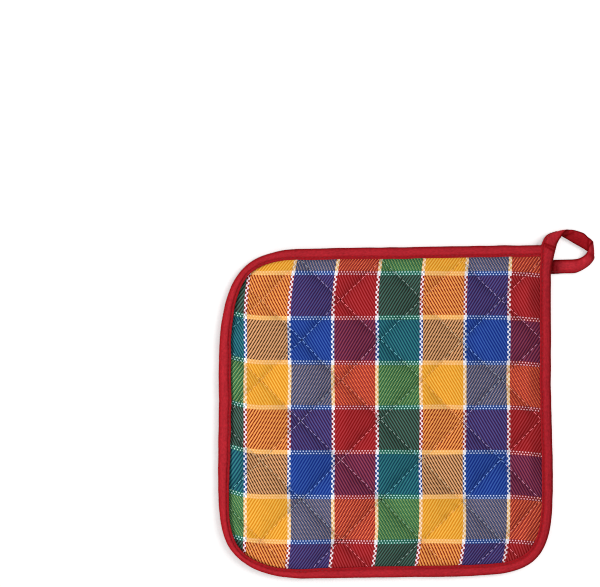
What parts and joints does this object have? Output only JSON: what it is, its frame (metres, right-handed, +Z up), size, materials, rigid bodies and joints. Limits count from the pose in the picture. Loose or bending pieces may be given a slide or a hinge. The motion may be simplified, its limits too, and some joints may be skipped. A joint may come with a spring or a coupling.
{
  "type": "pot holder",
  "caption": "Square quilted pot holder in checked cotton, bound in red tape that runs on into a hanging loop at one corner, lying flat.",
  "frame": {"origin": "on the surface it lies on, under the middle of its outline, hanging loop included", "axes": "+Z up, out of the checked face; +Y towards the side that ends at the loop's corner; +X towards the side that the loop hangs over"},
  "size_m": [0.2289, 0.2128, 0.0069],
  "materials": {
    "check_cotton": "matte woven cotton, red, gold, blue and green check with fine white lines, quilted",
    "red_tape": "matte plain-woven cotton bias tape"
  },
  "bodies": {
    "root": {"quilted_pad": "check_cotton", "edge_binding": "red_tape", "hanging_loop": "red_tape"}
  },
  "joints": []
}
